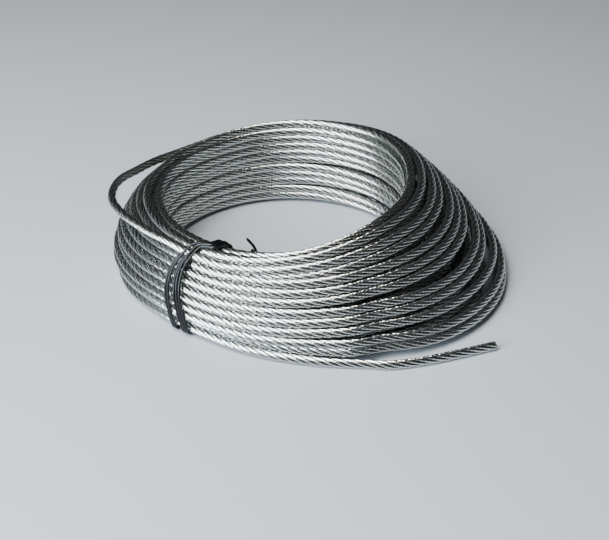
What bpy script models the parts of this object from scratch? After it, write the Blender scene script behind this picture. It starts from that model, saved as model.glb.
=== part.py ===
# Coil of stranded steel wire rope, hand wound, held by a few wraps of coated tie wire.
# Metres, +Z up. The coil lies flat, its eye is upright, and its box stands on the origin.
# Angles run counter-clockwise about +Z from +X, seen from above.

import math

import bmesh
import bpy
import numpy as np

MM = 0.001

# The rope and the tie wire
ROPE_DIAMETER = 5.0 * MM
TIE_WIRE_DIAMETER = 1.6 * MM
CLEARANCE = 0.3 * MM
WRAP_CLEARANCE = 0.5 * MM
FLOOR_GAP = 0.1 * MM

# Main sizes of the coil, to the rope's centre line in plan
EYE_RADIUS = 75.0 * MM
FOOT_RADIUS = 100.0 * MM
COIL_HEIGHT = 55.0 * MM
TOP_WIDTH = 5.0 * MM
SWELL = 6.0 * MM

# Hand winding leaves the coil uneven. By angle, these multiply the main sizes: the eye's radius
# at the foot and at the top, the width across the top, the foot's radius, the coil's height,
# and how far the outer face swells. The coil sags and fans out towards +X.
STATIONS = {
    0: (0.97, 0.89, 1.5, 1.28, 1.13, 0.8),
    45: (1.01, 0.97, 1.3, 1.20, 1.10, 1.0),
    90: (1.01, 1.00, 1.0, 1.03, 1.04, 0.8),
    135: (1.03, 1.00, 1.2, 1.01, 0.96, 1.2),
    180: (1.04, 1.02, 1.7, 1.03, 0.90, 1.2),
    225: (1.00, 1.00, 1.0, 0.95, 0.87, 1.3),
    270: (1.00, 1.02, 1.1, 1.03, 0.92, 0.9),
    315: (0.99, 0.96, 1.5, 1.25, 1.10, 0.7),
}

# Turns that show on each side of the section, corner turns included
TURNS_UNDER = 5
TURNS_OUTSIDE = 12
TURNS_INSIDE = 11
STATION_COUNT = 40
GROOVE_ANGLE = math.radians(55.0)
CORNER_STEPS = 5

# The tie: wraps, the two bands they part into on the outer face, and where they sit
TIE_WRAPS = 5
TIE_LEFT_WRAPS = 2
TIE_BAND_GAP = 3.5 * MM
TIE_ANGLE_TOP = 240.0
TIE_ANGLE_OUTSIDE = 230.0
TIE_ANGLE_UNDER = 233.0
TIE_LIFT_SPREAD = 40.0
TAIL_TURNS = 2.5

# Where the tie's ends run inside the eye, by angle and by share of the coil's height
LEAD_IN = ((244.0, 0.60), (240.0, 0.58), (236.5, 0.56))
LEAD_IN_STAND_OFF = 2.0 * TIE_WIRE_DIAMETER
TAIL_FOOT = (258.0, 0.67)
TAIL_TIP = (251.3, 1.06)

# Stretches of rope that leave the coil, chosen by hand, as an angle and how far the centre line
# runs outside the outer foot's turn, or for the loose turn outside and above the outer top's
FREE_END = (
    (291.0, 3.7 * MM), (294.0, 5.5 * MM), (298.0, 6.4 * MM), (303.4, 7.1 * MM),
    (309.3, 8.8 * MM), (314.8, 12.0 * MM), (319.5, 16.5 * MM),
)
LOOSE_TURN = (
    (158.0, 6.9 * MM, 1.0 * MM), (166.0, 9.4 * MM, 1.8 * MM), (172.5, 13.0 * MM, 3.2 * MM),
    (180.0, 16.5 * MM, 4.4 * MM), (188.4, 18.5 * MM, 4.0 * MM), (194.9, 17.0 * MM, 3.0 * MM),
    (201.9, 13.8 * MM, 2.4 * MM), (209.0, 10.8 * MM, 1.8 * MM), (215.0, 8.8 * MM, 1.2 * MM),
    (221.0, 7.2 * MM, 1.0 * MM),
)
TUBE_POINT_SPACING = 2.0

# Where the free end leaves: up to here its turn is the coil's outermost foot, and past here the
# next turn in takes its place, one rope further in
FREE_END_ANGLE = 288.0
STEP_ANGLE = 2.5
FOOT_REACH = 3.0 * MM
REACH_SPREAD = 45.0
STEP_SPREAD = 18.0


def clear_scene():
    for item in list(bpy.data.objects):
        bpy.data.objects.remove(item, do_unlink=True)


def make_material(name, colour, metallic, roughness):
    material = bpy.data.materials.new(name)
    material.use_nodes = True
    shader = material.node_tree.nodes["Principled BSDF"]
    shader.inputs["Base Color"].default_value = (*colour, 1.0)
    shader.inputs["Metallic"].default_value = metallic
    shader.inputs["Roughness"].default_value = roughness
    return material


def smooth_between(before, start, end, after, share):
    return 0.5 * (
        2.0 * start
        + (end - before) * share
        + (2.0 * before - 5.0 * start + 4.0 * end - after) * share**2
        + (3.0 * start - before - 3.0 * end + after) * share**3
    )


def smooth_through(points, fraction):
    """A point on the smooth curve through a list of points, at 0 to 1 of its spans."""
    last = len(points) - 1
    place = min(max(fraction, 0.0), 1.0) * last
    span = min(int(place), last - 1)
    share = place - span
    around = [np.asarray(points[min(max(span + shift, 0), last)], float) for shift in (-1, 0, 1, 2)]
    return smooth_between(*around, share)


def station_at(angle):
    """The section's sizes at any angle: inner foot, inner top, outer top, outer foot, height, swell."""
    angles = sorted(STATIONS)
    pitch = 360.0 / len(angles)
    place = (angle % 360.0) / pitch
    first = int(place)
    share = place - first
    around = [np.asarray(STATIONS[angles[(first + shift) % len(angles)]]) for shift in (-1, 0, 1, 2)]
    foot, top, width, reach, height, swell = smooth_between(*around, share)
    inner_top = top * EYE_RADIUS
    return (
        foot * EYE_RADIUS,
        inner_top,
        inner_top + width * TOP_WIDTH,
        reach * FOOT_RADIUS,
        height * COIL_HEIGHT,
        swell * SWELL,
    )


def foot_height(angle):
    """Centre height of the lowest turns: flat on the floor, and lifted where the tie passes under."""
    resting = 0.5 * ROPE_DIAMETER * math.cos(GROOVE_ANGLE / 3.0)
    room_for_tie = TIE_WIRE_DIAMETER + 3.0 * CLEARANCE
    away = abs((angle - TIE_ANGLE_UNDER + 180.0) % 360.0 - 180.0)
    if away >= TIE_LIFT_SPREAD:
        return resting
    return resting + room_for_tie * 0.5 * (1.0 + math.cos(math.pi * away / TIE_LIFT_SPREAD))


def foot_step(angle):
    """How far the outer foot moves out before the free end leaves, and in after it."""
    past = angle - FREE_END_ANGLE
    if -REACH_SPREAD < past <= 0.0:
        return FOOT_REACH * (1.0 + past / REACH_SPREAD)
    if 0.0 < past < STEP_SPREAD:
        return (FOOT_REACH - ROPE_DIAMETER) * (1.0 - past / STEP_SPREAD)
    return 0.0


def section_centres(angle):
    """Rope centres round the section as (radius, height), from the inner foot, outwards and up."""
    inner_foot, inner_top, outer_top, outer_foot, height, swell = station_at(angle)
    outer_foot += foot_step(angle)
    low = foot_height(angle)
    high = height - 0.5 * ROPE_DIAMETER
    centres = []
    for index in range(TURNS_UNDER - 1):
        share = index / (TURNS_UNDER - 1)
        centres.append((inner_foot + share * (outer_foot - inner_foot), low))
    run, rise = outer_top - outer_foot, high - low
    length = math.hypot(run, rise)
    outward = (rise / length, -run / length)
    for index in range(TURNS_OUTSIDE):
        share = index / (TURNS_OUTSIDE - 1)
        push = 4.0 * share * (1.0 - share) * swell
        centres.append((outer_foot + share * run + push * outward[0], low + share * rise + push * outward[1]))
    for index in range(TURNS_INSIDE - 1):
        share = index / (TURNS_INSIDE - 1)
        centres.append((inner_top + share * (inner_foot - inner_top), high + share * (low - high)))
    return centres


def edge_normal(start, end):
    run, rise = end[0] - start[0], end[1] - start[1]
    length = math.hypot(run, rise)
    return math.atan2(-run / length, rise / length)


def corner_indices():
    inner_foot = 0
    outer_foot = TURNS_UNDER - 1
    outer_top = outer_foot + TURNS_OUTSIDE - 1
    inner_top = outer_top + 1
    return (inner_foot, outer_foot, outer_top, inner_top)


def normals_at(centres, index):
    """Outward directions, as angles, of the two edges that meet at one rope centre."""
    before = centres[index - 1]
    here = centres[index]
    after = centres[(index + 1) % len(centres)]
    coming = edge_normal(before, here)
    going = edge_normal(here, after)
    if going < coming - math.pi:
        going += 2.0 * math.pi
    return coming, going


def section_outline(angle):
    """The section's scalloped outline: one rounded crown for each turn, a groove between turns."""
    centres = section_centres(angle)
    radius = 0.5 * ROPE_DIAMETER
    corners = corner_indices()
    outline = []
    for index, (across, up) in enumerate(centres):
        coming, going = normals_at(centres, index)
        before = centres[index - 1]
        after = centres[(index + 1) % len(centres)]
        widest = []
        for other in (before, after):
            half_gap = 0.46 * math.hypot(other[0] - across, other[1] - up)
            widest.append(math.asin(min(math.sin(GROOVE_ANGLE), half_gap / radius)))
        start, end = coming - widest[0], going + widest[1]
        steps = CORNER_STEPS if index in corners else 3
        for step in range(steps + 1):
            turn = start + (end - start) * step / steps
            outline.append((across + radius * math.cos(turn), max(up + radius * math.sin(turn), 0.0)))
    return outline


def coil_angles():
    """Angles of the lofted sections, evenly spaced, with two more at the free end's step."""
    angles = [index * 360.0 / STATION_COUNT for index in range(STATION_COUNT)]
    return sorted(angles + [FREE_END_ANGLE, FREE_END_ANGLE + STEP_ANGLE])


def make_coil(material):
    """The coil's turns as one ring with its open eye."""
    mesh = bpy.data.meshes.new("rope_coil")
    model = bmesh.new()
    rings = []
    for angle in coil_angles():
        turn = math.radians(angle)
        ring = []
        for across, up in section_outline(angle):
            ring.append(model.verts.new((across * math.cos(turn), across * math.sin(turn), up)))
        rings.append(ring)
    for index, ring in enumerate(rings):
        following = rings[(index + 1) % len(rings)]
        for place in range(len(ring)):
            beside = (place + 1) % len(ring)
            model.faces.new((ring[place], following[place], following[beside], ring[beside]))
    bmesh.ops.recalc_face_normals(model, faces=model.faces)
    model.to_mesh(mesh)
    model.free()
    mesh.shade_smooth()
    mesh.materials.append(material)
    return link_object("rope_coil", mesh)


def link_object(name, data):
    item = bpy.data.objects.new(name, data)
    bpy.context.scene.collection.objects.link(item)
    return item


def make_tube(name, points, diameter, material):
    """A round tube with closed ends along a list of points."""
    curve = bpy.data.curves.new(name, "CURVE")
    curve.dimensions = "3D"
    curve.bevel_depth = 0.5 * diameter
    curve.bevel_resolution = 2
    curve.use_fill_caps = True
    spline = curve.splines.new("POLY")
    spline.points.add(len(points) - 1)
    for place, point in zip(spline.points, points):
        place.co = (point[0], point[1], point[2], 1.0)
    spline.use_smooth = True
    curve.materials.append(material)
    return link_object(name, curve)


def free_end_points():
    """The free end lies on the floor outside the coil's foot."""
    points = []
    for angle, outside in FREE_END:
        turn = math.radians(angle)
        across = station_at(angle)[3] + outside
        points.append((across * math.cos(turn), across * math.sin(turn), 0.5 * ROPE_DIAMETER + FLOOR_GAP))
    return points


def loose_turn_points():
    """The loose turn stands off the coil's outer shoulder."""
    points = []
    for angle, outside, above in LOOSE_TURN:
        turn = math.radians(angle)
        _, _, outer_top, _, height, _ = station_at(angle)
        across = outer_top + outside
        points.append((across * math.cos(turn), across * math.sin(turn), height - 0.5 * ROPE_DIAMETER + above))
    return points


def rope_route(chosen):
    """Evenly placed points on the smooth curve through the chosen points."""
    fine = [smooth_through(chosen, share) for share in np.linspace(0.0, 1.0, 400)]
    steps = [0.0]
    for start, end in zip(fine, fine[1:]):
        steps.append(steps[-1] + float(np.linalg.norm(end - start)))
    count = max(4, round(steps[-1] / (TUBE_POINT_SPACING * ROPE_DIAMETER)))
    wanted = np.linspace(0.0, steps[-1], count + 1)
    return [tuple(np.interp(length, steps, [p[axis] for p in fine]) for axis in range(3)) for length in wanted]


def tie_angle(share):
    """The tie leans: its angle round the coil at a share of one wrap, from the eye side, down."""
    keys = (TIE_ANGLE_TOP, TIE_ANGLE_UNDER, TIE_ANGLE_UNDER, TIE_ANGLE_OUTSIDE, TIE_ANGLE_TOP, TIE_ANGLE_TOP)
    return float(smooth_through([(key,) for key in keys], share)[0])


def wrap_loop(angle, stand_off):
    """One closed path of the tie round the section at an angle, starting half way up the eye side."""
    centres = section_centres(angle)
    corners = corner_indices()
    reach = 0.5 * ROPE_DIAMETER + 0.5 * TIE_WIRE_DIAMETER + stand_off
    path = []
    for index, (across, up) in enumerate(centres):
        coming, going = normals_at(centres, index)
        shares = (0.0, 0.25, 0.5, 0.75, 1.0) if index in corners else (0.5,)
        for share in shares:
            turn = coming + share * (going - coming)
            path.append((across + reach * math.cos(turn), up + reach * math.sin(turn)))
    start = len(path) - TURNS_INSIDE // 2
    return path[start:] + path[:start]


def tie_point(share, wraps_done, stand_off):
    """A point of the tie's winding, at a share of one wrap and after some wraps."""
    angle = tie_angle(share)
    loop = wrap_loop(angle, stand_off)
    across, up = smooth_through(loop + loop[:1], share)
    pitch = TIE_WIRE_DIAMETER + CLEARANCE
    aside = (wraps_done - 0.5 * TIE_WRAPS) * pitch
    parted = math.sin(math.pi * min(max((share - 0.12) / 0.6, 0.0), 1.0)) ** 2
    side = -1.0 if wraps_done < TIE_LEFT_WRAPS else 1.0
    aside += side * 0.5 * TIE_BAND_GAP * parted
    turn = math.radians(angle) + aside / across
    return (across * math.cos(turn), across * math.sin(turn), up)


def eye_side_point(angle, share, stand_off):
    """A point beside the eye's wall, which leans a little, at a share of the coil's height."""
    inner_foot, inner_top, _, _, coil_height, _ = station_at(angle)
    across = inner_foot + share * (inner_top - inner_foot) - 0.5 * ROPE_DIAMETER - stand_off
    turn = math.radians(angle)
    return np.array((across * math.cos(turn), across * math.sin(turn), share * coil_height))


def tail_point(share, strand):
    """A point of one wire in the twisted tail that stands up inside the eye."""
    reach = 0.5 * (TIE_WIRE_DIAMETER + CLEARANCE)
    stand_off = 2.5 * TIE_WIRE_DIAMETER + 3.0 * CLEARANCE
    foot = eye_side_point(*TAIL_FOOT, stand_off)
    tip = eye_side_point(*TAIL_TIP, stand_off)
    along = (tip - foot) / np.linalg.norm(tip - foot)
    side = np.cross(along, (0.0, 0.0, 1.0))
    side /= np.linalg.norm(side)
    other = np.cross(along, side)
    turn = 2.0 * math.pi * TAIL_TURNS * share + math.pi * strand
    return tuple(foot + share * (tip - foot) + reach * (math.cos(turn) * side + math.sin(turn) * other))


def make_tie(material):
    """The tie: wound round the coil's section, its two ends twisted into one tail."""
    loop_length = len(wrap_loop(TIE_ANGLE_TOP, WRAP_CLEARANCE))
    tail_shares = np.linspace(1.0, 0.0, 17)
    first_end = [tail_point(share, 0) for share in tail_shares]
    last_end = [tail_point(share, 1) for share in reversed(tail_shares)]
    winding = []
    for step in range(TIE_WRAPS * loop_length + 1):
        wraps_done = step / loop_length
        share = wraps_done - int(wraps_done) if step < TIE_WRAPS * loop_length else 1.0
        winding.append(tie_point(share, wraps_done, WRAP_CLEARANCE))
    lead_in = [tuple(eye_side_point(angle, share, LEAD_IN_STAND_OFF)) for angle, share in LEAD_IN]
    points = first_end + lead_in + winding + last_end
    return make_tube("tie_wire", points, TIE_WIRE_DIAMETER, material)


def stand_on_origin(items):
    """Moves everything so that the box of the pieces stands centred on the origin."""
    bpy.context.view_layer.update()
    graph = bpy.context.evaluated_depsgraph_get()
    corners = []
    for item in items:
        shape = item.evaluated_get(graph)
        mesh = shape.to_mesh()
        corners += [tuple(item.matrix_world @ point.co) for point in mesh.vertices]
        shape.to_mesh_clear()
    low = np.min(corners, axis=0)
    high = np.max(corners, axis=0)
    for item in items:
        item.location = (-0.5 * (low[0] + high[0]), -0.5 * (low[1] + high[1]), 0.0)


def main():
    clear_scene()
    steel = make_material("bright_steel_rope", (0.42, 0.42, 0.38), 1.0, 0.35)
    coating = make_material("black_coated_wire", (0.02, 0.02, 0.02), 0.0, 0.35)
    items = [
        make_coil(steel),
        make_tube("rope_free_end", rope_route(free_end_points()), ROPE_DIAMETER, steel),
        make_tube("rope_loose_turn", rope_route(loose_turn_points()), ROPE_DIAMETER, steel),
        make_tie(coating),
    ]
    stand_on_origin(items)


main()
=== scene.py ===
import math
import bpy
import numpy as np
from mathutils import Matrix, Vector


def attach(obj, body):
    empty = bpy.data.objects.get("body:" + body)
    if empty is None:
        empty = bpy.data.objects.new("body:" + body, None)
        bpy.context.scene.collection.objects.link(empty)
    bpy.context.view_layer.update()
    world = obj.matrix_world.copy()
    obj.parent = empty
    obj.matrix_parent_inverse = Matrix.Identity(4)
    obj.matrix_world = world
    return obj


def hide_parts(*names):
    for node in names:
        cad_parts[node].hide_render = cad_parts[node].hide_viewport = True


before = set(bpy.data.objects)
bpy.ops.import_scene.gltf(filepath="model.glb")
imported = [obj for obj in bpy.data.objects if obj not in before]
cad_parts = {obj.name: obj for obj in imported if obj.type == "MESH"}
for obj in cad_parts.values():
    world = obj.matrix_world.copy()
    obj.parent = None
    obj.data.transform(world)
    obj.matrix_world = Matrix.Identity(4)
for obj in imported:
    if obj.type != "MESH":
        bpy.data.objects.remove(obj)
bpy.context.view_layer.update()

# A loose coil of 7x7 steel wire rope, one length of it, tied with black coated wire.
# Layout is worked out in millimetres about the eye's axis, then placed in the frame.

mm = 0.001

layout = {
    "eyeCentre": (-12.203, 3.024),  # the eye's axis in the frame, as the CAD coil has it
    "samplesPerTurn": 48,
    "startAngle": 288.0,  # where the outermost foot turn leaves as the free end
    "innerRows": (1, 1, 1, 2, 2, 2, 3, 3, 3),  # hidden turns in the heart, row by row from the top
    "turnsUnder": 5,
    "turnsOutside": 12,
    "turnsInside": 11,
    "seamSamples": 8.0,  # how soon past the start the lowest turn is down at the foot
    "gapAngle": 20.0,  # the wide side's outer turns lie in two groups, centred on this angle
    "gapSpread": 55.0,
    "gapPlace": 0.7,
    "gapWidth": 0.6,
    "wander": 0.51,  # how far hand winding lets a turn stray
    "strayWaves": (0.37, 0.61, 1.13, 1.71, 2.43),  # waves in each turn
    "seed": 11,
    "leaves": (128.0, 158.0, 2.4),  # the loose turn lifts off between these angles, this gently
    "returns": (246.0, 221.0, 1.5),
    "justInside": 0.05,
    "handSamples": 300,
    "elsewhere": 4000.0,  # mm, out of every turn's reach
}

settling = {
    "steps": 420,
    "spacing": 1.01,  # in rope diameters
    "straighten": 0.22,
    "push": 0.42,
    "pull": 0.05,
    "endSamples": 40,
}

# The coil's main sizes, to the rope's centre in plan, and how hand winding varies them by angle
# about the eye: its radius at the foot and the top, the width over the top, the foot's radius,
# the height, and the outer face's swell
coil = {
    "sizes": (75.0, 75.0, 5.0, 100.0, 55.0, 6.0),
    "stations": {
        0: (0.97, 0.89, 1.5, 1.28, 1.13, 0.8),
        45: (1.01, 0.97, 1.3, 1.20, 1.10, 1.0),
        90: (1.01, 1.00, 1.0, 1.03, 1.04, 0.8),
        135: (1.03, 1.00, 1.2, 1.01, 0.96, 1.2),
        180: (1.04, 1.02, 1.7, 1.03, 0.90, 1.2),
        225: (1.00, 1.00, 1.0, 0.95, 0.87, 1.3),
        270: (1.00, 1.02, 1.1, 1.03, 0.92, 0.9),
        315: (0.99, 0.96, 1.5, 1.25, 1.10, 0.7),
    },
    # angle, how far outside the outer foot's turn, and the height of its centre
    "freeEnd": (
        (291.0, 3.7, 2.6), (294.0, 5.5, 2.6), (298.0, 6.4, 2.6), (303.4, 7.1, 2.6),
        (309.3, 8.8, 2.6), (314.8, 12.0, 2.6), (319.5, 16.5, 2.6),
    ),
    # angle, and how far outside and above the outer top's turn
    "looseTurn": (
        (158.0, 6.9, 1.0), (166.0, 9.4, 1.8), (172.5, 13.0, 3.2), (180.0, 16.5, 4.4),
        (188.4, 18.5, 4.0), (194.9, 17.0, 3.0), (201.9, 13.8, 2.4), (209.0, 10.8, 1.8),
        (215.0, 8.8, 1.2), (221.0, 7.2, 1.0),
    ),
}

rope = {
    "diameter": 5.0,
    "lay": 34.0,  # right-hand lay
    "strands": 6,
    "stepsPerLay": 12,
    "strandSides": 8,
    "coreSides": 6,
    "coreStep": 8.0,
    "coreShare": 1.04,  # of a strand's diameter, so that the six lie against it
    "guideSpacing": 2.0,
    "wireLay": 13.0,
    "footReach": 3.0,  # how far the outer foot's turn comes out before it leaves as the free end
    "reachSpread": 45.0,
    "stepSpread": 18.0,
}

tie = {
    "diameter": 1.6,
    "clearance": 0.3,
    "wrapClearance": 0.35,
    "wraps": 5,
    "wrapSteps": 44,
    "tailSteps": 21,
    "shortEndSteps": 16,
    "guideSpacing": 0.9,
    "sweepStep": 1.1,
    "leftWraps": 2,
    "bandGap": 3.5,
    "bandsPart": (0.12, 0.6),  # where along a wrap the bands part, and over how much of it
    "angleTop": 240.0,
    "angleOutside": 230.0,
    "angleUnder": 233.0,
    "liftSpread": 40.0,
    "tailTurns": 1.2,
    "twistGap": 0.1,
    "leadIn": ((244.0, 0.60), (240.0, 0.58), (236.5, 0.56)),  # angle, share of the coil's height
    "tailFoot": (258.0, 0.67),
    "tailTip": (251.3, 1.06),
    "heapAt": 0.71,  # share of a wrap, at the coil's top
    "heapSpread": 0.2,
    "heapLift": 1.5,
    "heapSqueeze": 0.4,
    "shortEnd": 0.7,  # the second end is cut lower down the tail
    "coreDiameter": 1.0,
    "coreShows": 0.9,
    "coreHidden": 0.5,
    "coreStep": 0.3,
    "sides": 12,
}


def smoothBetween(before, start, end, after, share):
    return 0.5 * (
        2.0 * start
        + (end - before) * share
        + (2.0 * before - 5.0 * start + 4.0 * end - after) * share**2
        + (3.0 * start - before - 3.0 * end + after) * share**3
    )


def smoothThrough(points, fraction):
    points = np.asarray(points, float)
    last = len(points) - 1
    place = min(max(fraction, 0.0), 1.0) * last
    span = min(int(place), last - 1)
    picks = [min(max(span + shift, 0), last) for shift in (-1, 0, 1, 2)]
    return smoothBetween(*[points[pick] for pick in picks], place - span)


def stationAt(angle):
    # radii at the inner foot, inner top, outer top and outer foot, then height and swell
    angles = sorted(coil["stations"])
    place = (angle % 360.0) / (360.0 / len(angles))
    first = int(place)
    picks = [angles[(first + shift) % len(angles)] for shift in (-1, 0, 1, 2)]
    shares = smoothBetween(*[np.asarray(coil["stations"][pick]) for pick in picks], place - first)
    innerFoot, innerTop, topWidth, outerFoot, height, swell = shares * np.asarray(coil["sizes"])
    return innerFoot, innerTop, innerTop + topWidth, outerFoot, height, swell


def freeEndRoute():
    route = []
    for angle, outside, up in coil["freeEnd"]:
        turn, across = math.radians(angle), stationAt(angle)[3] + outside
        route.append((across * math.cos(turn), across * math.sin(turn), up))
    return route


def looseTurnRoute():
    route = []
    for angle, outside, above in coil["looseTurn"]:
        innerFoot, innerTop, outerTop, outerFoot, height, swell = stationAt(angle)
        turn, across = math.radians(angle), outerTop + outside
        up = height - 0.5 * rope["diameter"] + above
        route.append((across * math.cos(turn), across * math.sin(turn), up))
    return route


def footHeight(angle):
    # turns rest on the floor, lifted where the tie passes under them
    room = tie["diameter"] + 3.0 * tie["clearance"]
    away = abs((angle - tie["angleUnder"] + 180.0) % 360.0 - 180.0)
    if away >= tie["liftSpread"]:
        return 0.5 * rope["diameter"]
    return 0.5 * rope["diameter"] + room * 0.5 * (1.0 + math.cos(math.pi * away / tie["liftSpread"]))


def footStep(angle):
    past = angle % 360.0 - layout["startAngle"]
    if -rope["reachSpread"] < past <= 0.0:
        return rope["footReach"] * (1.0 + past / rope["reachSpread"])
    if 0.0 < past < rope["stepSpread"]:
        return (rope["footReach"] - rope["diameter"]) * (1.0 - past / rope["stepSpread"])
    return 0.0


def sectionLimits(angle):
    innerFoot, innerTop, outerTop, outerFoot, height, swell = stationAt(angle)
    high = height - 0.5 * rope["diameter"]
    return innerFoot, innerTop, outerTop, outerFoot + footStep(angle), footHeight(angle), high, swell


def outerPoint(angle, share):
    # a rope centre on the outer face, 0 at the foot and 1 at the top
    innerFoot, innerTop, outerTop, outerFoot, low, high, swell = sectionLimits(angle)
    run, rise = outerTop - outerFoot, high - low
    length = math.hypot(run, rise)
    push = 4.0 * share * (1.0 - share) * swell
    return (outerFoot + share * run + push * rise / length, low + share * rise - push * run / length)


def innerPoint(angle, share):
    innerFoot, innerTop, outerTop, outerFoot, low, high, swell = sectionLimits(angle)
    return (innerFoot + share * (innerTop - innerFoot), low + share * (high - low))


def slotCentres(angle):
    # where the turns lie in the section, in the order the rope was wound: its heart row by row,
    # then along the underside, up the eye's wall, over the top and down the outer face
    innerFoot, innerTop, outerTop, outerFoot, low, high, swell = sectionLimits(angle)
    slots = []
    rows = layout["innerRows"]
    for row, count in enumerate(rows):
        share = 1.0 - (row + 1.0) / (len(rows) + 1.0)
        left, right = innerPoint(angle, share)[0], outerPoint(angle, share)[0]
        up = low + share * (high - low)
        line = [(left + (right - left) * (place + 1.0) / (count + 1.0), up) for place in range(count)]
        slots += line if row % 2 == 0 else line[::-1]
    under = layout["turnsUnder"] - 1
    for place in range(under - 1, 0, -1):
        slots.append((innerFoot + (outerFoot - innerFoot) * place / under, low))
    inside = layout["turnsInside"] - 1
    slots += [innerPoint(angle, place / inside) for place in range(inside + 1)]
    outside = layout["turnsOutside"] - 1
    slots += [outerPoint(angle, 1.0 - place / outside) for place in range(outside + 1)]
    return np.array(slots)


def bunched(angle, low):
    # on the wide side the outer turns lie in two groups, with a dark gap between them
    away = abs((angle - layout["gapAngle"] + 180.0) % 360.0 - 180.0) / layout["gapSpread"]
    if away >= 1.0:
        return np.zeros(len(low))
    at = layout["gapPlace"]
    shift = np.where(low < at, -low / at, (1.0 - low) / (1.0 - at))
    return layout["gapWidth"] * 0.5 * (1.0 + math.cos(math.pi * away)) * np.where(low > 0.0, shift, 0.0)


def byAngle(route, angle):
    # radius and height of a listed stretch at an angle, or None where it doesn't run
    shares = np.linspace(0.0, 1.0, layout["handSamples"])
    fine = np.array([smoothThrough(route, share) for share in shares])
    angles = np.degrees(np.arctan2(fine[:, 1], fine[:, 0])) % 360.0
    if not angles[0] <= angle <= angles[-1]:
        return None
    radii = np.hypot(fine[:, 0], fine[:, 1])
    return np.array([np.interp(angle, angles, radii), np.interp(angle, angles, fine[:, 2])])


def restingPlaces(angles, turns):
    # where each turn would lie by itself: in its slot, and moving over to the next within a turn
    samples = len(angles)
    slots = np.array([slotCentres(angle) for angle in angles])
    rest = np.zeros((turns + 1, samples, 2))
    outsideFirst = turns - layout["turnsOutside"] + 1
    for index, angle in enumerate(angles):
        share = index / samples
        # past the start the lowest turn drops to the foot that the free end has left
        low = np.clip((np.arange(turns) + share - outsideFirst) / (turns - outsideFirst), 0.0, 1.0)
        place = np.arange(turns) + share + low * (1.0 - share) * min(1.0, index / layout["seamSamples"])
        place += bunched(angle, low)
        for axis in range(2):
            rest[:turns, index, axis] = np.interp(place, np.arange(turns + 1), slots[index, :, axis])
    rest[turns, 0] = slots[0][-1]
    rest[turns, 1:] = (layout["elsewhere"], 0.0)  # past its end the rope is elsewhere
    return rest


def addStray(rest, turns, samples):
    chance = np.random.default_rng(layout["seed"])
    around = 2.0 * math.pi * np.arange(turns * samples) / samples
    for axis in range(2):
        stray = np.zeros(turns * samples)
        for wave in layout["strayWaves"]:  # of random height, and phase in radians
            stray += chance.normal() * np.sin(wave * around + chance.uniform(0.0, 6.3)) / math.sqrt(wave)
        rest[:turns, :, axis] += layout["wander"] * stray.reshape(turns, samples)


def layByHand(rest, angles, turns):
    # the free end, and the loose turn where it stands off the coil, are held where they were put
    fixed = np.zeros(rest.shape[:2], bool)
    fixed[turns] = True
    looseRow = turns - layout["turnsOutside"] + 1
    freeEnd, looseTurn = freeEndRoute(), looseTurnRoute()
    leaveFrom, leaveTo, leaveEase = layout["leaves"]
    returnTo, returnFrom, returnEase = layout["returns"]
    looseFirst = byAngle(looseTurn, leaveTo + layout["justInside"])
    looseLast = byAngle(looseTurn, returnFrom - layout["justInside"])
    for index, angle in enumerate(angles):
        laid = byAngle(freeEnd, angle)
        if laid is not None:
            rest[turns, index] = laid
        laid = byAngle(looseTurn, angle)
        own = rest[looseRow, index].copy()
        if laid is None and leaveFrom < angle < leaveTo:
            share = (angle - leaveFrom) / (leaveTo - leaveFrom)
            laid = own + (looseFirst - own) * share**leaveEase
        elif laid is None and returnFrom < angle < returnTo:
            share = (returnTo - angle) / (returnTo - returnFrom)
            laid = own + (looseLast - own) * share**returnEase
        if laid is not None:
            rest[looseRow, index] = laid
            fixed[looseRow, index] = True
    return fixed


def settle(rest, fixed, angles, turns):
    # pushes crowded turns towards a diameter apart, inside the coil's outline, and keeps the rope
    # smooth along itself: most end at about a diameter, and a few stay closer, by up to 0.63 mm
    samples = len(angles)
    limits = np.array([sectionLimits(angle) for angle in angles])
    innerFoot, innerTop, outerTop, outerFoot, low, high, swell = limits.T
    slope = (high - low) / np.hypot(outerTop - outerFoot, high - low)
    own = np.arange(turns + 1)
    laid = rest.reshape(-1, 2)[: turns * samples + 1]
    bend = 0.5 * (laid[:-2] + laid[2:]) - laid[1:-1]  # what the coil's own shape bends
    bend[-settling["endSamples"]:] = 0.0
    now = rest.copy()
    for step in range(settling["steps"]):
        flat = now.reshape(-1, 2)[: turns * samples + 1]
        flat[1:-1] += settling["straighten"] * (0.5 * (flat[:-2] + flat[2:]) - flat[1:-1] - bend)
        now[fixed] = rest[fixed]
        apart = now[:, None] - now[None]
        far = np.linalg.norm(apart, axis=-1) + 1e-6
        far[own, own] = 1e6  # a turn doesn't push itself
        push = np.clip(rope["diameter"] * settling["spacing"] - far, 0.0, None)
        now += settling["push"] * np.sum(apart / far[..., None] * push[..., None], axis=1)
        now += settling["pull"] * (1.0 - step / settling["steps"]) * (rest - now)
        share = np.clip((now[..., 1] - low) / (high - low), 0.0, 1.0)
        inner = innerFoot + share * (innerTop - innerFoot)
        outer = outerFoot + share * (outerTop - outerFoot) + 4.0 * share * (1.0 - share) * swell * slope
        now[..., 0] = np.clip(now[..., 0], inner, outer)
        now[..., 1] = np.clip(now[..., 1], low, high)
        now[fixed] = rest[fixed]
    apart = np.linalg.norm(now[:, None] - now[None], axis=-1)
    apart[own, own] = 1e6
    nearest = apart[:turns].min(axis=1)
    tenth = float(np.quantile(nearest, 0.1))
    print("turns", turns, "closest", round(float(nearest.min()), 2), "mm, tenth", round(tenth, 2), "mm")
    return now


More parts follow.
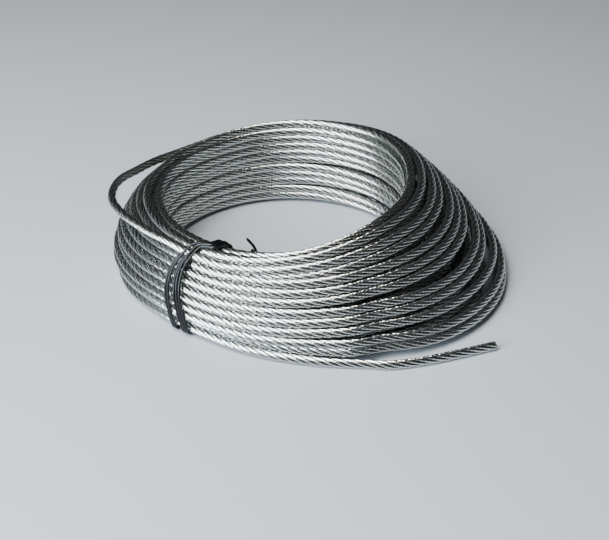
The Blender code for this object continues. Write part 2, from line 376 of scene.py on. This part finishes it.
def windTurns():
    samples = layout["samplesPerTurn"]
    angles = [(layout["startAngle"] + 360.0 * index / samples) % 360.0 for index in range(samples)]
    turns = len(slotCentres(angles[0])) - 1
    rest = restingPlaces(angles, turns)
    addStray(rest, turns, samples)
    fixed = layByHand(rest, angles, turns)
    flat = settle(rest, fixed, angles, turns).reshape(-1, 2)[: turns * samples + 1]
    turn = np.radians(layout["startAngle"] + 360.0 * np.arange(len(flat)) / samples)
    return np.stack([flat[:, 0] * np.cos(turn), flat[:, 0] * np.sin(turn), flat[:, 1]], axis=1)


def evenPoints(points, spacing, perSpan=6):
    # evenly spaced points, in millimetres, on the smooth curve through all the points
    points = np.asarray(points, float)
    padded = np.vstack([points[:1], points, points[-1:]])
    fine = []
    for share in np.arange(perSpan) / perSpan:
        fine.append(smoothBetween(padded[:-3], padded[1:-2], padded[2:-1], padded[3:], share))
    fine = np.vstack([np.stack(fine, axis=1).reshape(-1, 3), points[-1:]])
    steps = np.concatenate([[0.0], np.cumsum(np.linalg.norm(np.diff(fine, axis=0), axis=1))])
    wanted = np.linspace(0.0, steps[-1], int(round(steps[-1] / spacing)) + 1)
    return np.stack([np.interp(wanted, steps, fine[:, axis]) for axis in range(3)], axis=1), steps[-1]


def inFrame(points):
    points = np.asarray(points, float)
    return (points + np.array([*layout["eyeCentre"], 0.0])) * mm


def addNode(tree, kind, settings=None, links=None):
    # one node, its properties and socket values, and the links into its inputs
    node = tree.nodes.new(kind)
    for name, value in (settings or {}).items():
        if isinstance(name, int) or name in node.inputs:
            node.inputs[name].default_value = value
        else:
            setattr(node, name, value)
    for name, source in (links or {}).items():
        tree.links.new(source, node.inputs[name])
    return node


def toLinear(hexColour):
    value = hexColour.lstrip("#")
    parts = [int(value[place:place + 2], 16) / 255.0 for place in (0, 2, 4)]
    linear = [part / 12.92 if part <= 0.04045 else ((part + 0.055) / 1.055) ** 2.4 for part in parts]
    return (*linear, 1.0)


def wireTree():
    # sweeps a round wire or strand along a curve, on a helix about it where an offset is given
    fullTurn = 2.0 * math.pi
    tree = bpy.data.node_groups.new("laidStrand", "GeometryNodeTree")
    face = tree.interface
    face.new_socket("Geometry", in_out="INPUT", socket_type="NodeSocketGeometry")
    for name in ("Offset", "Lay", "Phase", "Radius", "Step"):
        face.new_socket(name, in_out="INPUT", socket_type="NodeSocketFloat")
    face.new_socket("Sides", in_out="INPUT", socket_type="NodeSocketInt")
    face.new_socket("Material", in_out="INPUT", socket_type="NodeSocketMaterial")
    face.new_socket("Geometry", in_out="OUTPUT", socket_type="NodeSocketGeometry")
    given = addNode(tree, "NodeGroupInput").outputs

    # the direction away from the rope's axis, turning once for each lay
    links = {"Curve": given["Geometry"], "Length": given["Step"]}
    path = addNode(tree, "GeometryNodeResampleCurve", {"mode": "LENGTH"}, links).outputs[0]
    along = addNode(tree, "GeometryNodeSplineParameter").outputs["Length"]
    links = {0: along, 1: given["Lay"]}
    turns = addNode(tree, "ShaderNodeMath", {"operation": "DIVIDE"}, links).outputs[0]
    links = {0: turns, 2: given["Phase"]}
    angle = addNode(tree, "ShaderNodeMath", {"operation": "MULTIPLY_ADD", 1: fullTurn}, links).outputs[0]
    normal = addNode(tree, "GeometryNodeInputNormal").outputs[0]
    tangent = addNode(tree, "GeometryNodeInputTangent").outputs[0]
    links = {0: tangent, 1: normal}
    side = addNode(tree, "ShaderNodeVectorMath", {"operation": "CROSS_PRODUCT"}, links).outputs[0]
    cosine = addNode(tree, "ShaderNodeMath", {"operation": "COSINE"}, {0: angle}).outputs[0]
    sine = addNode(tree, "ShaderNodeMath", {"operation": "SINE"}, {0: angle}).outputs[0]
    links = {0: normal, "Scale": cosine}
    first = addNode(tree, "ShaderNodeVectorMath", {"operation": "SCALE"}, links).outputs[0]
    links = {0: side, "Scale": sine}
    second = addNode(tree, "ShaderNodeVectorMath", {"operation": "SCALE"}, links).outputs[0]
    links = {0: first, 1: second}
    outward = addNode(tree, "ShaderNodeVectorMath", {"operation": "ADD"}, links).outputs[0]

    # the strand's own centre line, with what the material needs kept on it
    settings = {"data_type": "FLOAT_VECTOR", "Name": "outward"}
    links = {"Geometry": path, "Value": outward}
    kept = addNode(tree, "GeometryNodeStoreNamedAttribute", settings, links).outputs[0]
    settings = {"data_type": "FLOAT", "Name": "along"}
    links = {"Geometry": kept, "Value": along}
    kept = addNode(tree, "GeometryNodeStoreNamedAttribute", settings, links).outputs[0]
    links = {0: outward, "Scale": given["Offset"]}
    shift = addNode(tree, "ShaderNodeVectorMath", {"operation": "SCALE"}, links).outputs[0]
    links = {"Geometry": kept, "Offset": shift}
    moved = addNode(tree, "GeometryNodeSetPosition", {}, links).outputs[0]

    # a round profile that remembers where on it each point was
    links = {"Resolution": given["Sides"], "Radius": given["Radius"]}
    ring = addNode(tree, "GeometryNodeCurvePrimitiveCircle", {"mode": "RADIUS"}, links).outputs[0]
    spin = addNode(tree, "GeometryNodeSplineParameter").outputs["Factor"]
    settings = {"operation": "MULTIPLY", 1: fullTurn}
    spinAngle = addNode(tree, "ShaderNodeMath", settings, {0: spin}).outputs[0]
    spinCos = addNode(tree, "ShaderNodeMath", {"operation": "COSINE"}, {0: spinAngle}).outputs[0]
    spinSin = addNode(tree, "ShaderNodeMath", {"operation": "SINE"}, {0: spinAngle}).outputs[0]
    spinPair = addNode(tree, "ShaderNodeCombineXYZ", {}, {0: spinCos, 1: spinSin}).outputs[0]
    settings = {"data_type": "FLOAT_VECTOR", "Name": "spin"}
    links = {"Geometry": ring, "Value": spinPair}
    ring = addNode(tree, "GeometryNodeStoreNamedAttribute", settings, links).outputs[0]
    links = {"Curve": moved, "Profile Curve": ring}
    swept = addNode(tree, "GeometryNodeCurveToMesh", {"Fill Caps": True}, links).outputs[0]

    # crown is 1 on the side that faces out of the rope and falls towards the grooves
    settings = {"data_type": "FLOAT_VECTOR", "Name": "outward"}
    outwardRead = addNode(tree, "GeometryNodeInputNamedAttribute", settings).outputs[0]
    faceNormal = addNode(tree, "GeometryNodeInputNormal").outputs[0]
    links = {0: faceNormal, 1: outwardRead}
    crown = addNode(tree, "ShaderNodeVectorMath", {"operation": "DOT_PRODUCT"}, links).outputs["Value"]
    settings = {"data_type": "FLOAT", "Name": "crown"}
    links = {"Geometry": swept, "Value": crown}
    marked = addNode(tree, "GeometryNodeStoreNamedAttribute", settings, links).outputs[0]
    smooth = addNode(tree, "GeometryNodeSetShadeSmooth", {}, {"Geometry": marked}).outputs[0]
    real = addNode(tree, "GeometryNodeRealizeInstances", {}, {"Geometry": smooth}).outputs[0]
    links = {"Geometry": real, "Material": given["Material"]}
    done = addNode(tree, "GeometryNodeSetMaterial", {}, links).outputs[0]
    addNode(tree, "NodeGroupOutput", {}, {"Geometry": done})
    return tree


def sweepAlong(name, points, tree, values):
    # runs the node tree on a curve through points in metres, and returns the plain mesh piece
    curve = bpy.data.curves.new(name + "Path", "CURVE")
    curve.dimensions = "3D"
    spline = curve.splines.new("POLY")
    spline.points.add(len(points) - 1)
    spline.points.foreach_set("co", np.hstack([points, np.ones((len(points), 1))]).ravel())
    guide = bpy.data.objects.new(name + "Path", curve)
    bpy.context.scene.collection.objects.link(guide)
    modifier = guide.modifiers.new("sweep", "NODES")
    modifier.node_group = tree
    for socket in tree.interface.items_tree:
        if socket.item_type == "SOCKET" and socket.in_out == "INPUT" and socket.name in values:
            modifier[socket.identifier] = values[socket.name]
    bpy.context.view_layer.update()
    graph = bpy.context.evaluated_depsgraph_get()
    mesh = bpy.data.meshes.new_from_object(guide.evaluated_get(graph))
    mesh.name = name
    bpy.data.objects.remove(guide, do_unlink=True)
    piece = bpy.data.objects.new(name, mesh)
    bpy.context.scene.collection.objects.link(piece)
    return piece


steel = {
    # painted shade: the dark colour given to the grooves between strands, where shade falls
    "grooveShadeColour": "#12120d",
    "wireColour": "#cbcdca",
    "shadeFrom": 0.05,  # how far out of the groove the painted shade begins and ends, by the crown attribute
    "shadeTo": 0.65,
    "grimePatch": 11.11,  # mm
    "grimeShare": 0.22,
    "wearGrain": 1.111,  # mm
    "roughness": (0.16, 0.24),
    "wiresAround": 6.0,
    "wireDepth": 0.05,  # mm, shallower than the real grooves, which the picture is too coarse for
    "wireStrength": 0.35,
}


def steelWire():
    # bright drawn carbon steel wire: bright crowns, with painted shade darkening the grooves between
    # strands
    material = bpy.data.materials.new("brightDrawnSteelWire")
    material.use_nodes = True
    tree = material.node_tree
    shader = tree.nodes["Principled BSDF"]
    shader.inputs["Metallic"].default_value = 1.0
    crown = addNode(tree, "ShaderNodeAttribute", {"attribute_name": "crown"}).outputs["Fac"]
    along = addNode(tree, "ShaderNodeAttribute", {"attribute_name": "along"}).outputs["Fac"]
    spin = addNode(tree, "ShaderNodeAttribute", {"attribute_name": "spin"}).outputs["Vector"]
    place = addNode(tree, "ShaderNodeTexCoord").outputs["Object"]

    settings = {"Scale": 1.0 / (steel["grimePatch"] * mm), "Detail": 2.0}
    grime = addNode(tree, "ShaderNodeTexNoise", settings, {"Vector": place}).outputs["Fac"]
    # painted shade: the ramp darkens each strand's sides towards the grooves by the crown attribute,
    # with random grime patches mixed in
    settings = {"operation": "MULTIPLY_ADD", 1: steel["grimeShare"]}
    grooveShadeAndGrime = addNode(tree, "ShaderNodeMath", settings, {0: grime, 2: crown}).outputs[0]
    ramp = addNode(tree, "ShaderNodeValToRGB", {}, {0: grooveShadeAndGrime})
    shadedGroove, bright = ramp.color_ramp.elements
    shadedGroove.position, shadedGroove.color = steel["shadeFrom"], toLinear(steel["grooveShadeColour"])
    bright.position, bright.color = steel["shadeTo"], toLinear(steel["wireColour"])
    tree.links.new(ramp.outputs[0], shader.inputs["Base Color"])

    settings = {"Scale": 1.0 / (steel["wearGrain"] * mm), "Detail": 2.0}
    wear = addNode(tree, "ShaderNodeTexNoise", settings, {"Vector": place}).outputs["Fac"]
    settings = {"To Min": steel["roughness"][0], "To Max": steel["roughness"][1]}
    rough = addNode(tree, "ShaderNodeMapRange", settings, {"Value": wear}).outputs[0]
    tree.links.new(rough, shader.inputs["Roughness"])

    # the six outer wires of a strand, as grooves that wind round it
    parts = addNode(tree, "ShaderNodeSeparateXYZ", {}, {0: spin})
    links = {0: parts.outputs[1], 1: parts.outputs[0]}
    angle = addNode(tree, "ShaderNodeMath", {"operation": "ARCTAN2"}, links).outputs[0]
    settings = {"operation": "MULTIPLY", 1: steel["wiresAround"]}
    around = addNode(tree, "ShaderNodeMath", settings, {0: angle}).outputs[0]
    winding = -2.0 * math.pi * steel["wiresAround"] / (rope["wireLay"] * mm)
    settings = {"operation": "MULTIPLY_ADD", 1: winding}
    wound = addNode(tree, "ShaderNodeMath", settings, {0: along, 2: around}).outputs[0]
    wires = addNode(tree, "ShaderNodeMath", {"operation": "COSINE"}, {0: wound}).outputs[0]
    settings = {"Strength": steel["wireStrength"], "Distance": steel["wireDepth"] * mm}
    bump = addNode(tree, "ShaderNodeBump", settings, {"Height": wires})
    tree.links.new(bump.outputs[0], shader.inputs["Normal"])
    return material


coating = {
    "darkColour": "#08090a",
    "paleColour": "#131416",
    "waviness": 3.846,  # mm
    "wavinessDepth": 0.1,  # mm
    "wavinessStrength": 0.25,
    "roughness": (0.14, 0.22),
    "specular": 0.35,
}


def coatedWire():
    # black PVC coated binding wire, extruded smooth: a soft gloss with faint waviness
    material = bpy.data.materials.new("blackPvcCoating")
    material.use_nodes = True
    tree = material.node_tree
    shader = tree.nodes["Principled BSDF"]
    shader.inputs["Specular IOR Level"].default_value = coating["specular"]
    place = addNode(tree, "ShaderNodeTexCoord").outputs["Object"]
    settings = {"Scale": 1.0 / (coating["waviness"] * mm), "Detail": 3.0}
    noise = addNode(tree, "ShaderNodeTexNoise", settings, {"Vector": place}).outputs["Fac"]
    ramp = addNode(tree, "ShaderNodeValToRGB", {}, {0: noise})
    ramp.color_ramp.elements[0].color = toLinear(coating["darkColour"])
    ramp.color_ramp.elements[1].color = toLinear(coating["paleColour"])
    tree.links.new(ramp.outputs[0], shader.inputs["Base Color"])
    settings = {"To Min": coating["roughness"][0], "To Max": coating["roughness"][1]}
    rough = addNode(tree, "ShaderNodeMapRange", settings, {"Value": noise}).outputs[0]
    tree.links.new(rough, shader.inputs["Roughness"])
    settings = {"Strength": coating["wavinessStrength"], "Distance": coating["wavinessDepth"] * mm}
    bump = addNode(tree, "ShaderNodeBump", settings, {"Height": noise})
    tree.links.new(bump.outputs[0], shader.inputs["Normal"])
    return material


def sectionLoop(angle, reach):
    # the tie's path round the section, starting half way up the eye's wall and going down
    under = layout["turnsUnder"] - 1
    inside = layout["turnsInside"] - 1
    outside = layout["turnsOutside"] - 1
    innerFoot, innerTop, outerTop, outerFoot, low, high, swell = sectionLimits(angle)
    centres = [(innerFoot + (outerFoot - innerFoot) * place / under, low) for place in range(under)]
    centres += [outerPoint(angle, place / outside) for place in range(outside + 1)]
    centres += [innerPoint(angle, 1.0 - place / inside) for place in range(inside)]
    corners = (0, under, under + outside, under + outside + 1)
    path = []
    for index, (across, up) in enumerate(centres):
        before, after = centres[index - 1], centres[(index + 1) % len(centres)]
        coming = math.atan2(before[0] - across, up - before[1])
        going = math.atan2(across - after[0], after[1] - up)
        if going < coming - math.pi:
            going += 2.0 * math.pi
        for share in (0.0, 0.25, 0.5, 0.75, 1.0) if index in corners else (0.5,):
            turn = coming + share * (going - coming)
            path.append((across + reach * math.cos(turn), up + reach * math.sin(turn)))
    start = len(path) - layout["turnsInside"] // 2
    return path[start:] + path[:start]


def tieAngle(share):
    top, outside, under = tie["angleTop"], tie["angleOutside"], tie["angleUnder"]
    return float(smoothThrough([(top,), (under,), (under,), (outside,), (top,), (top,)], share)[0])


def eyeSidePoint(angle, share, standOff):
    # beside the eye's wall, at a share of the coil's height
    innerFoot, innerTop, outerTop, outerFoot, height, swell = stationAt(angle)
    across = innerFoot + share * (innerTop - innerFoot) - 0.5 * rope["diameter"] - standOff
    turn = math.radians(angle)
    return np.array((across * math.cos(turn), across * math.sin(turn), share * height))


def tailPoint(share, strand):
    reach = 0.5 * (tie["diameter"] + tie["twistGap"])
    standOff = 2.5 * tie["diameter"] + 3.0 * tie["clearance"]
    foot = eyeSidePoint(*tie["tailFoot"], standOff)
    tip = eyeSidePoint(*tie["tailTip"], standOff)
    along = (tip - foot) / np.linalg.norm(tip - foot)
    side = np.cross(along, (0.0, 0.0, 1.0))
    side /= np.linalg.norm(side)
    other = np.cross(along, side)
    turn = 2.0 * math.pi * tie["tailTurns"] * share + math.pi * strand
    return foot + share * (tip - foot) + reach * (math.cos(turn) * side + math.sin(turn) * other)


def tiePath():
    # one wire: a twisted tail, the wraps in two bands, and the tail's other half
    reach = 0.5 * rope["diameter"] + 0.5 * tie["diameter"] + tie["wrapClearance"]
    steps = tie["wrapSteps"]
    partFrom, partSpan = tie["bandsPart"]
    points = [tailPoint(share, 0) for share in np.linspace(1.0, 0.0, tie["tailSteps"])]
    points += [eyeSidePoint(angle, share, 2.0 * tie["diameter"]) for angle, share in tie["leadIn"]]
    for step in range(tie["wraps"] * steps + 1):
        done = step / steps
        share = done - int(done) if step < tie["wraps"] * steps else 1.0
        angle = tieAngle(share)
        # the wires climb onto each other over the top and part again on the outer face
        away = min(abs(share - tie["heapAt"]) / tie["heapSpread"], 1.0)
        heaped = math.cos(math.pi * away) * 0.5 + 0.5
        loop = sectionLoop(angle, reach + heaped * (int(done) % 2) * tie["heapLift"])
        across, up = smoothThrough(loop + loop[:1], share)
        aside = (done - 0.5 * tie["wraps"]) * (tie["diameter"] + tie["clearance"])
        aside *= 1.0 - tie["heapSqueeze"] * heaped
        parted = math.sin(math.pi * min(max((share - partFrom) / partSpan, 0.0), 1.0)) ** 2
        aside += (-1.0 if done < tie["leftWraps"] else 1.0) * 0.5 * tie["bandGap"] * parted
        turn = math.radians(angle) + aside / across
        points.append((across * math.cos(turn), across * math.sin(turn), up))
    points += [tailPoint(share, 1) for share in np.linspace(0.0, tie["shortEnd"], tie["shortEndSteps"])]
    return np.array(points)


def makeRope(tree, material):
    points, length = evenPoints(np.vstack([windTurns(), freeEndRoute()]), rope["guideSpacing"])
    points = inFrame(points)
    print("rope length", round(length * mm, 2), "m in", len(points), "points")
    strandDiameter = rope["diameter"] / 3.0
    values = {
        "Offset": strandDiameter * mm,
        "Lay": rope["lay"] * mm,
        "Radius": 0.5 * strandDiameter * mm,
        "Step": rope["lay"] / rope["stepsPerLay"] * mm,
        "Sides": rope["strandSides"],
        "Material": material,
    }
    strands = []
    for index in range(rope["strands"]):
        values["Phase"] = 2.0 * math.pi * index / rope["strands"]
        strands.append(sweepAlong("rope_strand_%d" % (index + 1), points, tree, values))
    values.update({"Offset": 0.0, "Phase": 0.0, "Radius": 0.5 * rope["coreShare"] * strandDiameter * mm})
    values.update({"Step": rope["coreStep"] * mm, "Sides": rope["coreSides"]})
    core = sweepAlong("rope_core_strand", points, tree, values)
    print("laid", len(strands), "strands round the core strand")
    for piece in strands + [core]:
        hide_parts("rope_coil", "rope_free_end", "rope_loose_turn")
        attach(piece, "root")


def makeTie(tree, material, cutSteel):
    path = tiePath()
    points, length = evenPoints(path, tie["guideSpacing"], 4)
    values = {
        "Offset": 0.0,
        "Lay": 1.0,  # not a laid wire, so this has no effect
        "Phase": 0.0,
        "Radius": 0.5 * tie["diameter"] * mm,
        "Step": tie["sweepStep"] * mm,
        "Sides": tie["sides"],
        "Material": material,
    }
    piece = sweepAlong("tie_wire_wraps", inFrame(points), tree, values)
    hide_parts("tie_wire")
    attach(piece, "root")
    # the cutters left a bright stub of the steel core bare at the upper end
    away = (path[0] - path[1]) / np.linalg.norm(path[0] - path[1])
    stub = [path[0] + away * reach for reach in np.linspace(-tie["coreHidden"], tie["coreShows"], 4)]
    values.update({"Radius": 0.5 * tie["coreDiameter"] * mm, "Step": tie["coreStep"] * mm})
    values["Material"] = cutSteel
    core = sweepAlong("tie_wire_cut_core", inFrame(stub), tree, values)
    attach(core, "root")
    print("tie wire", round(length), "mm")


ground = {
    "half": 3.0,  # metres
    "colour": "#a9adb4",
    "roughness": 0.7,
}


def makeFloor():
    # a plain pale floor, nearly matt
    half = ground["half"]
    corners = [(-half, -half, 0.0), (half, -half, 0.0), (half, half, 0.0), (-half, half, 0.0)]
    mesh = bpy.data.meshes.new("floor")
    mesh.from_pydata(corners, [], [(0, 1, 2, 3)])
    floor = bpy.data.objects.new("floor", mesh)
    bpy.context.scene.collection.objects.link(floor)
    material = bpy.data.materials.new("paleFloor")
    material.use_nodes = True
    shader = material.node_tree.nodes["Principled BSDF"]
    shader.inputs["Base Color"].default_value = toLinear(ground["colour"])
    shader.inputs["Roughness"].default_value = ground["roughness"]
    mesh.materials.append(material)


# a cool low light and a warmer high one, both tall and soft, at the left of the camera
lights = {
    "coolLowStrip": {
        "angle": 226.0,
        "elevation": 24.0,
        "distance": 1.1,  # metres
        "size": (0.5, 0.8),
        "power": 30.0,
        "colour": (0.76, 0.89, 1.0),
    },
    "warmHighStrip": {
        "angle": 231.0,
        "elevation": 60.0,
        "distance": 1.1,
        "size": (0.5, 0.7),
        "power": 24.0,
        "colour": (1.0, 0.98, 0.92),
    },
}

surround = {
    "colour": (0.86, 0.93, 1.0, 1.0),
    "strength": 0.05,
}


def addArea(name, angle, elevation, distance, size, power, colour):
    light = bpy.data.lights.new(name, "AREA")
    light.shape = "RECTANGLE"
    light.size, light.size_y = size
    light.energy = power
    light.color = colour
    item = bpy.data.objects.new(name, light)
    turn, rise = math.radians(angle), math.radians(elevation)
    towards = (math.cos(turn) * math.cos(rise), math.sin(turn) * math.cos(rise), math.sin(rise))
    place = Vector(towards) * distance
    item.location = place
    item.rotation_euler = (-place).to_track_quat("-Z", "Y").to_euler()
    bpy.context.scene.collection.objects.link(item)


def lightStudio():
    world = bpy.data.worlds.new("studio")
    world.use_nodes = True
    world.node_tree.nodes["Background"].inputs[0].default_value = surround["colour"]
    world.node_tree.nodes["Background"].inputs[1].default_value = surround["strength"]
    bpy.context.scene.world = world
    for name, light in lights.items():
        addArea(name, **light)


view = {
    "picture": (609.0, 540.0),
    "focal": 1104.0,  # in the picture's pixels
    "aim": (5.0, -1.5),  # on the floor, in mm from the eye's axis
    "aimShows": (300.0, 261.0),  # where that point shows in the photograph
    "elevation": 31.0,
    "distance": 0.665,  # metres
    "sensor": 36.0,
}


def placeCamera():
    camera = bpy.data.cameras.new("photoView")
    pictureWidth, pictureHeight = view["picture"]
    elevation = math.radians(view["elevation"])
    camera.sensor_width = view["sensor"]
    camera.lens = view["focal"] / pictureWidth * camera.sensor_width
    camera.shift_x = (0.5 * pictureWidth - view["aimShows"][0]) / pictureWidth
    camera.shift_y = (view["aimShows"][1] - 0.5 * pictureHeight) / pictureWidth
    item = bpy.data.objects.new("photoView", camera)
    aimX, aimY = np.add(layout["eyeCentre"], view["aim"])
    aim = Vector((aimX, aimY, 0.0)) * mm
    item.location = aim + Vector((0.0, -math.cos(elevation), math.sin(elevation))) * view["distance"]
    item.rotation_euler = (math.radians(90.0) - elevation, 0.0, 0.0)
    bpy.context.scene.collection.objects.link(item)
    bpy.context.scene.camera = item


placeCamera()
lightStudio()
makeFloor()
print("camera,", len(lights), "lights and floor placed")
strandTree = wireTree()
brightSteel = steelWire()
makeRope(strandTree, brightSteel)
makeTie(strandTree, coatedWire(), brightSteel)
